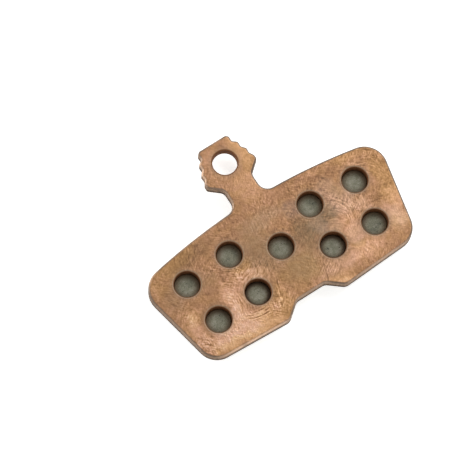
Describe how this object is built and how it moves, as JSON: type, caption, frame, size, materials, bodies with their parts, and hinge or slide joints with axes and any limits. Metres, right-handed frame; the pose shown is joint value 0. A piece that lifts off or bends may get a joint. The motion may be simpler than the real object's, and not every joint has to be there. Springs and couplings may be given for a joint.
{
  "type": "bicycle disc brake pad",
  "caption": "Flat brake pad: a stamped, copper-plated steel backing plate with a saw-toothed pin tab, and a sintered friction block keyed into its round holes.",
  "frame": {"origin": "on the friction face, under the middle of the pad's outline", "axes": "+X along the pad's long axis, +Y towards the pin tab, +Z out of the back of the plate"},
  "size_m": [0.0456, 0.032, 0.0041],
  "materials": {
    "copper_plated_steel": "worn copper plating with a brown patina",
    "sintered_metal": "matt, granular"
  },
  "bodies": {
    "root": {"backing_plate": "copper_plated_steel", "friction_material": "sintered_metal"}
  },
  "joints": []
}
